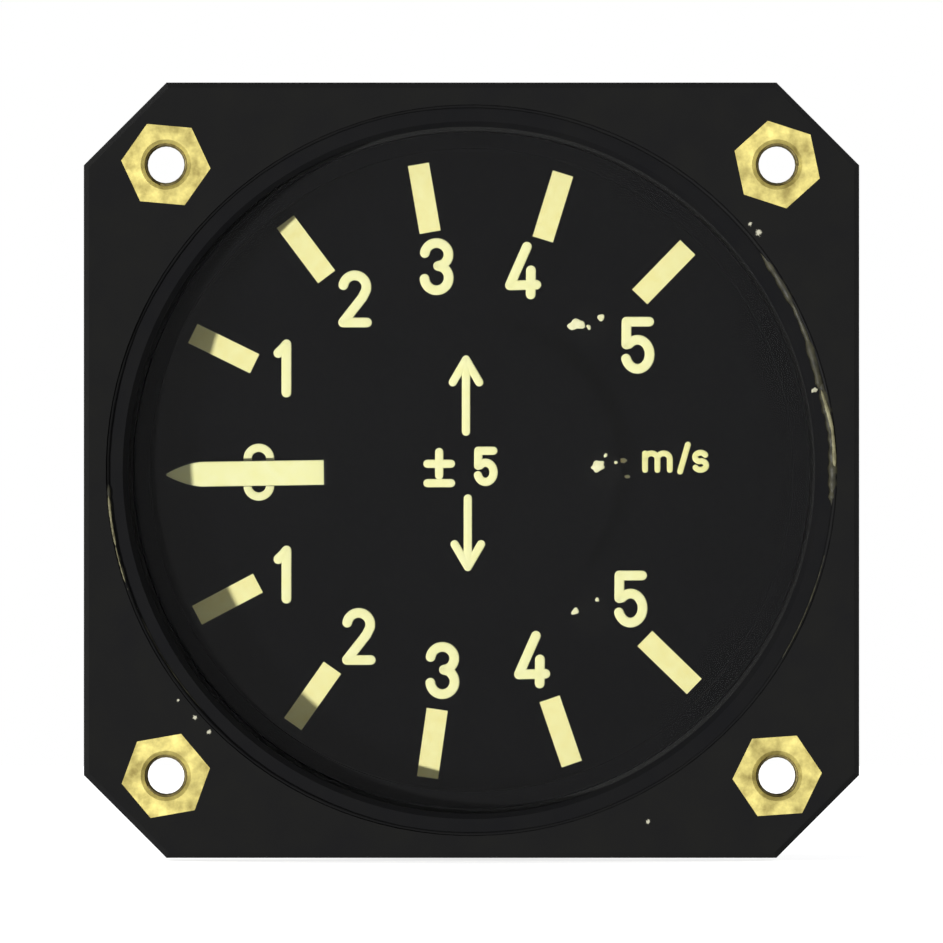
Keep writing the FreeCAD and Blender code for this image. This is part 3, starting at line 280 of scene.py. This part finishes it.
# ---------------------------------------------------------------- glass
# Flat clear glass with hardly any reflection, under a thin even film of dust, which
# scatters the light and so veils the dial.
glass = bpy.data.materials.new("front_glass")
glass.use_nodes = True
glass.node_tree.nodes.clear()
clear = node(glass, "BsdfTransparent", {"Color": (0.985, 0.99, 0.985, 1.0)})
film = node(glass, "BsdfDiffuse", {"Color": (0.9, 0.9, 0.9, 1.0)})
film_share = between(glass, noise(glass, 130.0, seed=0.5), 0.3, 0.7, 0.0055, 0.0061)
dusty = node(glass, "MixShader")
link(glass, film_share, dusty.inputs["Fac"])
link(glass, clear.outputs[0], dusty.inputs[1])
link(glass, film.outputs[0], dusty.inputs[2])
shine = node(glass, "BsdfGlossy", {"Color": white})
link(glass, between(glass, noise(glass, 300.0), 0.3, 0.7, 0.04, 0.12), shine.inputs["Roughness"])
shine_share = 0.0012
pane = node(glass, "MixShader", {"Fac": shine_share})
link(glass, dusty.outputs[0], pane.inputs[1])
link(glass, shine.outputs[0], pane.inputs[2])
link(glass, pane.outputs[0], node(glass, "OutputMaterial").inputs["Surface"])
dress(glass, "front_glass")

# ---------------------------------------------------------------- dial, spacer, hub cover
# The dial and the disc over the pointer's hub are cut from sheet, and the wall between
# dial and glass is turned. All are sprayed matt black, with a faint orange peel.
dial_paint = surface("dial_paint", (0.0007, 0.0007, 0.0011), (0.0012, 0.0012, 0.0016), 0.005,
                     (0.6, 0.8), 0.0008, 0.000003, specular=0.01)
dress(dial_paint, "dial_plate", "hub_cover", "spacer_ring")

# ---------------------------------------------------------------- scale marks
# Ten raised bars of luminous paint, laid on the dial through a stencil: cream, with the
# slight clouds and grain of dried paint.
luminous = surface("luminous_paint", (0.93, 0.84, 0.35), (0.985, 0.925, 0.46), 0.0009,
                   (0.7, 0.9), 0.00007, 0.000012, specular=0.1)
dress(luminous, "scale_marks")


# ---------------------------------------------------------------- numerals
# Upright rounded figures in a paler paint, each made of a few strokes with round ends
# and a low crown, laid on the dial's front.
def arc(x, z, rx, rz, start, end):
    """Points round an ellipse about (x, z) from a start to an end angle in degrees."""
    turn = np.radians(np.linspace(start, end, 25))
    return np.stack([x + rx * np.cos(turn), z + rz * np.sin(turn)], 1)


def stroke(path, width, base, crown):
    """Closed ribbon along a path of (x, z) points in mm, lying in front of y = base.

    Along the path the half width is width / 2, and over the last half width at each end
    it follows a semicircle. Across, the front rises by crown times the sine of the angle
    round the section, and the back is flat.
    """
    path = np.asarray(path, float)
    half = width / 2
    steps = np.linalg.norm(np.diff(path, axis=0), axis=1)
    along = np.concatenate([[0.0], np.cumsum(steps)])
    length = along[-1]
    cap = half * (1 - np.cos(np.linspace(0, math.pi / 2, 7)))
    inner = np.linspace(0, length, max(4, int(length / (0.25 * width))))
    places = np.concatenate([-half + cap, inner, along[1:-1], length + half - cap])
    places = np.unique(places.round(6))
    inside = np.clip(places, 0, length)
    x, z = np.interp(inside, along, path[:, 0]), np.interp(inside, along, path[:, 1])
    reach = half * 0.2
    ahead, behind = np.clip(inside + reach, 0, length), np.clip(inside - reach, 0, length)
    run = np.stack([np.interp(ahead, along, path[:, k]) - np.interp(behind, along, path[:, k])
                    for k in (0, 1)], 1)
    run /= np.linalg.norm(run, axis=1, keepdims=True)
    over = places - inside
    x, z = x + run[:, 0] * over, z + run[:, 1] * over
    wide = np.sqrt(np.maximum(half ** 2 - over ** 2, 1e-8))
    round_section = np.linspace(0, 2 * math.pi, 12, endpoint=False)
    side, rise = np.cos(round_section), np.maximum(np.sin(round_section), 0)
    across = wide[:, None] * side
    return np.stack([x[:, None] + run[:, 1:2] * across,
                     base - crown * rise * (wide / half)[:, None],
                     z[:, None] - run[:, 0:1] * across], -1)


def mesh_of(name, grids, material, body):
    """One object from closed grids of points in mm (rows along, columns round)."""
    verts, faces, start = [], [], 0
    for points in grids:
        rows, columns = points.shape[:2]
        verts.append(points.reshape(-1, 3))
        index = start + np.arange(rows * columns).reshape(rows, columns)
        beside = np.roll(index, -1, axis=1)
        quads = np.stack([index[:-1], index[1:], beside[1:], beside[:-1]], -1).reshape(-1, 4)
        faces += [tuple(quad) for quad in quads.tolist()]
        faces += [tuple(index[0].tolist()), tuple(index[-1][::-1].tolist())]
        start += rows * columns
    mesh = bpy.data.meshes.new(name)
    mesh.from_pydata((np.concatenate(verts) * MM).tolist(), [], faces)
    mesh.materials.append(material)
    mesh.shade_smooth()
    made = bpy.data.objects.new(name, mesh)
    bpy.context.scene.collection.objects.link(made)
    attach(made, body)


def figure(sign):
    """Centre lines of one figure, about 3.7 mm high and 1.9 mm wide, in mm."""
    if sign == "0":
        return [np.concatenate([arc(0, 1.06, 0.87, 0.83, 0, 180),
                                arc(0, -1.06, 0.87, 0.83, 180, 360), [(0.87, 1.06)]])]
    if sign == "1":
        return [[(-0.38, 1.2), (0.05, 1.62), (0.22, 1.84)], [(0.24, 1.86), (0.24, -1.86)]]
    if sign == "2":
        return [np.concatenate([arc(0, 0.92, 0.9, 0.91, 170, -18), [(0.6, 0.12), (-0.9, -1.8)]]),
                [(-0.9, -1.83), (0.92, -1.83)]]
    if sign == "3":
        return [np.concatenate([arc(0, 0.94, 0.92, 0.9, 172, -62), [(0.12, 0.06)]]),
                np.concatenate([[(0.12, 0.06)], arc(0, -0.87, 0.94, 0.96, 62, -175)])]
    if sign == "4":
        return [[(0.3, 1.84), (-1.0, -1.12)], [(-1.0, -1.15), (1.02, -1.1)],
                [(0.62, 0.0), (0.6, -1.84)]]
    return [[(-0.84, 1.83), (0.88, 1.83)], [(-0.86, 1.83), (-0.87, 0.08)],
            np.concatenate([[(-0.87, 0.08)], arc(0, -0.7, 0.94, 1.13, 135, -162)])]


pale = surface("numeral_paint", (0.955, 0.92, 0.44), (0.985, 0.955, 0.53), 0.0009,
               (0.7, 0.9), 0.00007, 0.000008, specular=0.1)
dial_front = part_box("dial_plate")[0].y / MM
numeral_places = [("0", -16.5, -0.15), ("1", -14.6, 7.9), ("2", -9.05, 13.3), ("3", -2.7, 15.8),
                  ("4", 4.0, 15.5), ("5", 12.9, 9.7), ("1", -14.6, -8.1), ("2", -8.75, -12.9),
                  ("3", -2.25, -15.55), ("4", 4.7, -14.7), ("5", 12.35, -10.0)]
bold, slim, crown = 0.78, 0.66, 0.03
strokes = [stroke(np.asarray(line) + (x, z), slim if sign == "0" else bold, dial_front, crown)
           for sign, x, z in numeral_places for line in figure(sign)]
mesh_of("dial_numerals", strokes, pale, "case")

# ---------------------------------------------------------------- unit
# The unit to the right of the dial's middle in small letters, in a slightly deeper
# yellow than the figures and with a finer stroke.
unit_lines = [[(13.48, 0.03), (13.48, 1.3)],
              np.concatenate([arc(13.96, 0.86, 0.48, 0.45, 180, 0), [(14.44, 0.03)]]),
              np.concatenate([arc(14.92, 0.86, 0.48, 0.45, 180, 0), [(15.4, 0.03)]]),
              [(16.2, -0.1), (16.8, 1.98)],
              np.concatenate([arc(17.78, 1.02, 0.42, 0.34, 30, 255),
                              arc(17.78, 0.38, 0.44, 0.35, 75, -150)])]
unit_paint = surface("unit_paint", (0.90, 0.85, 0.33), (0.97, 0.93, 0.44), 0.0006,
                     (0.7, 0.9), 0.00007, 0.000008, specular=0.1)
unit_width = 0.47
mesh_of("dial_unit", [stroke(line, unit_width, dial_front, crown) for line in unit_lines],
        unit_paint, "case")

# ---------------------------------------------------------------- arrows and range
# An arrow up for climb and one down for sink, with the scale's range between them, in
# the figures' paint on the hub cover.
cover_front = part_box("hub_cover")[0].y / MM
barb_back, barb_out = 1.75, 1.02
arrows = []
for middle, root, tip in ((-0.42, 3.0, 8.58), (-0.28, -2.2, -7.5)):
    back = tip - math.copysign(barb_back, tip)
    arrows += [[(middle, root), (middle, tip)],
               [(middle - barb_out, back), (middle, tip), (middle + barb_out, back)]]
range_lines = [[(-3.4, 0.5), (-1.6, 0.5)], [(-2.5, 1.4), (-2.5, -0.4)],
               [(-3.4, -1.0), (-1.6, -1.0)]]
figure_scale = 0.66
range_lines += [np.asarray(line) * figure_scale + (1.1, 0.3) for line in figure("5")]
mesh_of("cover_signs", [stroke(line, slim, cover_front, crown) for line in arrows + range_lines],
        pale, "case")

# ---------------------------------------------------------------- pointer
# A strip of blackened sheet. Its outer part carries the figures' paint in a low cushion,
# square at its inner end and pointed at its tip.
pointer_black = surface("pointer_black", (0.010, 0.010, 0.011), (0.016, 0.016, 0.016), 0.002,
                        (0.5, 0.7), 0.00008, 0.000003, specular=0.1)
dress(pointer_black, "pointer")
pointer_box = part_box("pointer")[0]
tip_x, pointer_front = pointer_box.x / MM, pointer_box.y / MM
half_width, tip_half, inner_end, tip_length = 0.97, 0.08, -11.45, 2.9
paint_rise, squareness, sides = 0.06, 0.35, 16
# Half width along the nose: from tip_half to half_width by one less a power of what is
# left of the nose. Across, both coordinates are a power of the circle's, so nearly square.
nose = np.linspace(0.0, 1.0, 10)
station = np.concatenate([tip_x + 0.02 + tip_length * nose, np.linspace(-20, -12, 9),
                          [inner_end - 0.06, inner_end]])
spread = np.concatenate([tip_half + (half_width - tip_half) * (1 - (1 - nose) ** 1.8),
                         np.full(len(station) - len(nose), half_width)])
section = np.linspace(0, 2 * math.pi, sides, endpoint=False)
profile = np.sign(np.cos(section)) * np.abs(np.cos(section)) ** squareness
raised = np.maximum(np.sin(section), 0) ** squareness
paint = np.stack([np.repeat(station[:, None], sides, 1),
                  pointer_front - paint_rise * np.repeat(raised[None], len(station), 0),
                  -spread[:, None] * profile], -1)
zero_turn = math.radians(0.85)
paint = np.stack([paint[..., 0] * math.cos(zero_turn) - paint[..., 2] * math.sin(zero_turn),
                  paint[..., 1],
                  paint[..., 0] * math.sin(zero_turn) + paint[..., 2] * math.cos(zero_turn)], -1)
mesh_of("pointer_paint", [paint], pale, "movement")

# ---------------------------------------------------------------- threads
# The thread cut in each of the four inserts: one ridge that winds down the bore, of brass
# coloured far darker than the inserts' own, as painted shade inside the bore.
thread_pitch, bore_radius, crest_radius = 0.7, 1.66, 1.43
root_half, crest_half, chamfer_end, rows_drawn = 0.3, 0.05, 0.55, 150
# Painted shade: the ridge's dark olive colour stands in for the shade inside the bore.
shaded_thread_brass = surface("shaded_thread_brass", (0.07, 0.055, 0.02), (0.22, 0.18, 0.07), 0.0006,
                       (0.4, 0.6), 0.0001, 0.00001, metallic=0.5, specular=0.2)
half_spacing = frame["record"]["mounts"][0]["dims"]["spacing_x_mm"] / 2
insert_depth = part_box("flange_inserts")[1].y / MM


def thread(x, z, phase):
    """Ridge of low trapezium section along a helix about (x, z) from the chamfer to the
    insert's rear; its angle grows evenly with depth."""
    depth = np.linspace(chamfer_end, insert_depth - 0.1, rows_drawn)
    angle = 2 * math.pi * depth / thread_pitch + phase
    out = np.array([bore_radius, crest_radius, crest_radius, bore_radius])
    aside = np.array([-root_half, -crest_half, crest_half, root_half])
    return np.stack([x + out * np.cos(angle)[:, None], depth[:, None] + aside,
                     z + out * np.sin(angle)[:, None]], -1)


threads = [thread(side * half_spacing, level * half_spacing, 0.9 * side + 0.4 * level)
           for side in (-1, 1) for level in (-1, 1)]
mesh_of("insert_threads", threads, shaded_thread_brass, "case")

# ---------------------------------------------------------------- dial screws
# Blackened screws that hold the dial and the hub cover. Small bright flecks with ragged
# outlines on their heads and beside them are rubbed bare metal and also painted highlight,
# where the heads catch the light.
dark_screw = surface("dark_screw", (0.0008, 0.0008, 0.0010), (0.0020, 0.0020, 0.0020), 0.0006,
                     (0.45, 0.65), 0.0001, 0.000006, specular=0.02)
dress(dark_screw, "dial_screws", "hub_cover_screw")


def fleck(x, z, long, wide, angle, base, rise, seed):
    """Closed lump on y = base: an ellipse whose radius wavers by a few seeded sines."""
    rng = np.random.default_rng(seed)
    turn = np.linspace(0, 2 * math.pi, 20, endpoint=False)
    waver = 1 + sum(rng.uniform(-0.16, 0.16) * np.sin(k * turn + rng.uniform(0, 6.3))
                    for k in (2, 3, 5))
    level = np.array([0.0, 0.45, 0.8, 1.0])
    shrink = np.sqrt(1 - level ** 2 * 0.99)[:, None] * waver
    u, v = long / 2 * shrink * np.cos(turn), wide / 2 * shrink * np.sin(turn)
    lean = math.radians(angle)
    return np.stack([x + u * math.cos(lean) - v * math.sin(lean),
                     np.repeat(base - rise * level[:, None], len(turn), 1),
                     z + u * math.sin(lean) + v * math.cos(lean)], -1)


# Rubbed metal and painted highlight: the pale cream glints of the screw heads.
rubbed_and_glint = surface("rubbed_metal_and_glint", (0.80, 0.76, 0.42), (0.98, 0.95, 0.62), 0.0004,
               (0.4, 0.6), 0.00008, 0.00001, specular=0.3)
cover_screw_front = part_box("hub_cover_screw")[0].y / MM
dial_screw_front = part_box("dial_screws")[0].y / MM
fleck_rise = 0.03
# Flecks on the heads, and two on the dial beside the cover screw: worn metal and painted glints.
flecks_and_glints = [(8.15, 11.3, 1.35, 0.85, 8, dial_screw_front),
          (9.1, 11.1, 0.45, 0.3, -60, dial_screw_front),
          (10.05, 11.85, 0.6, 0.5, 20, dial_screw_front),
          (9.75, -10.05, 0.35, 0.3, 0, dial_screw_front),
          (8.05, -10.95, 0.6, 0.5, 70, dial_screw_front),
          (9.82, 0.32, 1.15, 0.8, 20, cover_screw_front),
          (10.4, 1.15, 0.35, 0.25, 60, cover_screw_front),
          (11.2, 0.6, 0.3, 0.25, 0, cover_screw_front),
          (11.8, 0.75, 0.5, 0.4, 10, dial_front),
          (12.1, -0.5, 0.4, 0.3, 0, dial_front)]
mesh_of("screw_flecks_and_glints", [fleck(*sizes, fleck_rise, seed) for seed, sizes in enumerate(flecks_and_glints)],
        rubbed_and_glint, "case")

# ---------------------------------------------------------------- steel pieces
# The shaft, the vane's stop pins, the clips and the screws of case and movement: plain
# turned steel, half bright.
steel = surface("steel", (0.36, 0.36, 0.37), (0.62, 0.62, 0.62), 0.0015, (0.25, 0.45),
                0.00015, 0.000004, metallic=1.0)
dress(steel, "cover_screws", "chamber_screws", "plate_screws", "partition_screws", "bridge_screws",
      "jewel_screw", "shaft", "stop_pins", "regulator_clip", "zero_clip")

# ---------------------------------------------------------------- brass movement and nipples
# Turned and milled brass pieces of the movement, and the hose nipples at the rear, with
# faint streaks round them from the tool.
brass = surface("brass", (0.50, 0.36, 0.12), (0.78, 0.62, 0.26), 0.003, (0.22, 0.42),
                0.0002, 0.000005, metallic=1.0, stretch=(1.0, 6.0, 1.0))
dress(brass, "dial_pillars", "hub_cover_post", "pointer_hub", "front_bearing", "balance_arm",
      "balance_weight", "chamber_port", "spring_collet", "spring_stud", "regulator_arm", "bridge",
      "bridge_posts", "jewel_nut", "zero_screw", "zero_pinion", "static_nipple", "capacity_nipple")

# ---------------------------------------------------------------- vane chamber
# The chamber with its lid, partition and vane, and the plate that carries it, milled
# from aluminium and left bare.
aluminium = surface("aluminium", (0.42, 0.42, 0.43), (0.68, 0.68, 0.69), 0.004, (0.3, 0.5),
                    0.0002, 0.000005, metallic=1.0)
dress(aluminium, "chamber_cover", "chamber_body", "main_plate", "vane", "vane_hub", "partition")

# ---------------------------------------------------------------- hairspring
# A spiral of bronze strip between its collet on the shaft and its stud on the zero
# setting's arm; it draws the pointer back to zero.
bronze = surface("spring_bronze", (0.38, 0.20, 0.09), (0.62, 0.38, 0.18), 0.001, (0.25, 0.4),
                 0.0001, 0.000002, metallic=1.0)
dress(bronze, "hairspring")

# ---------------------------------------------------------------- hose
# The short hose inside the case, from the chamber's port to its nipple in the lid, of
# soft brown-red rubber.
hose = surface("hose_rubber", (0.10, 0.035, 0.02), (0.18, 0.07, 0.04), 0.002, (0.6, 0.85),
               0.0002, 0.00001)
dress(hose, "capacity_hose")

# ---------------------------------------------------------------- jewels
# The two bearing stones that the shaft's pivots run in, of polished synthetic ruby, one
# in the front bush and one in the screw of the bridge.
ruby = surface("ruby", (0.35, 0.01, 0.04), (0.6, 0.03, 0.09), 0.0008, (0.05, 0.15),
               0.0003, 0.000001)
dress(ruby, "front_jewel", "rear_jewel")

# ---------------------------------------------------------------- lacquer, painted rim highlight and dust
# Sealing lacquer in the step between the ring and the case: a black fillet all round.
# The beads at the right and the thin ones at the left are painted highlight: pale amber
# paint where light glints on the recess wall, with brighter painted glints in parts of
# them. Three grains of dust lie near them.
# Painted highlight: the faint brownish sheen of light on the recess wall, as beads.
rim_highlight_paint = surface("painted_rim_highlight", (0.013, 0.013, 0.010), (0.058, 0.054, 0.030), 0.0007,
                  (0.4, 0.6), 0.0002, 0.00001, specular=0.2)


def bead(start, end, across, width, base, rise, seed):
    """Closed bead along a circle from a start to an end angle: its radius comes from
    across, and its width wavers by seeded sines and dies out at both ends."""
    rng = np.random.default_rng(seed)
    share = np.linspace(0.0, 1.0, 90)
    angle = np.radians(start + (end - start) * share)
    waver = sum(rng.uniform(-0.4, 0.4) / math.sqrt(k)
                * np.sin(k * 6.3 * share + rng.uniform(0, 6.3)) for k in (2, 5, 9, 14))
    half = width / 2 * (1 + waver) * np.minimum(1, 12 * np.minimum(share, 1 - share) + 0.03)
    middle = np.interp(share, np.linspace(0, 1, len(across)), across)
    turn = np.linspace(0, 2 * math.pi, 8, endpoint=False)
    out = middle[:, None] + half[:, None] * np.cos(turn)
    level = base - rise * np.maximum(np.sin(turn), 0) * np.minimum(1, half / half.max())[:, None]
    return np.stack([out * np.cos(angle)[:, None], level, out * np.sin(angle)[:, None]], -1)


ring_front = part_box("retaining_ring")[0].y / MM
# Painted highlight beads where light glints on the recess wall, at the right and the left.
highlight_beads = [bead(38, 12, (28.1, 28.05, 27.95, 27.7), 0.66, ring_front, 0.34, 3),
         bead(15, -6, (27.9, 28.0, 28.05, 28.05), 0.8, ring_front, 0.34, 5),
         bead(-12, -32, (28.1, 28.1), 0.14, ring_front, 0.36, 8),
         bead(181, 205, (28.14, 28.16), 0.3, ring_front, 0.37, 11),
         bead(203, 222, (28.0, 27.9), 0.12, ring_front, 0.12, 13)]
mesh_of("ring_painted_highlight", highlight_beads, rim_highlight_paint, "case")
black_lacquer = surface("black_lacquer", (0.0080, 0.0080, 0.0086), (0.0104, 0.0104, 0.0100),
                        0.003, (0.4, 0.6), 0.0001, 0.000002, specular=0.05)
fillets = [bead(0, 360, (28.2, 28.2), 0.36, ring_front, 0.33, 31),
           bead(180, 540, (28.2, 28.2), 0.36, ring_front, 0.33, 32)]
mesh_of("ring_fillet", fillets, black_lacquer, "case")
# Painted glints: brighter pale amber where the light on the recess wall is strongest.
painted_rim_glint = surface("painted_rim_glint", (0.07, 0.062, 0.030), (0.34, 0.32, 0.18), 0.0008,
                         (0.4, 0.6), 0.0002, 0.00001, specular=0.2)
glints = [bead(13, 0, (27.75, 28.1, 28.1), 0.3, ring_front - 0.28, 0.08, 21),
          bead(192, 184, (28.14, 28.16), 0.2, ring_front - 0.3, 0.08, 22),
          bead(198, 192, (28.16, 28.16), 0.1, ring_front - 0.3, 0.08, 23)]
mesh_of("painted_rim_glints", glints, painted_rim_glint, "case")
grains = [(28.3, -1.85, 0.34, 0.26, 0, 0.3), (26.25, 12.2, 0.3, 0.26, 0, 0.35),
          (26.55, 6.2, 0.5, 0.36, 30, 0.35)]
dust = surface("dust", (0.30, 0.29, 0.20), (0.80, 0.78, 0.58), 0.0007, (0.8, 0.95),
               0.0001, 0.00001, specular=0.1)
mesh_of("dust_grains",
        [fleck(x, z, long, wide, angle, base + fleck_rise, fleck_rise, 40 + seed)
         for seed, (x, z, long, wide, angle, base) in enumerate(grains)], dust, "case")
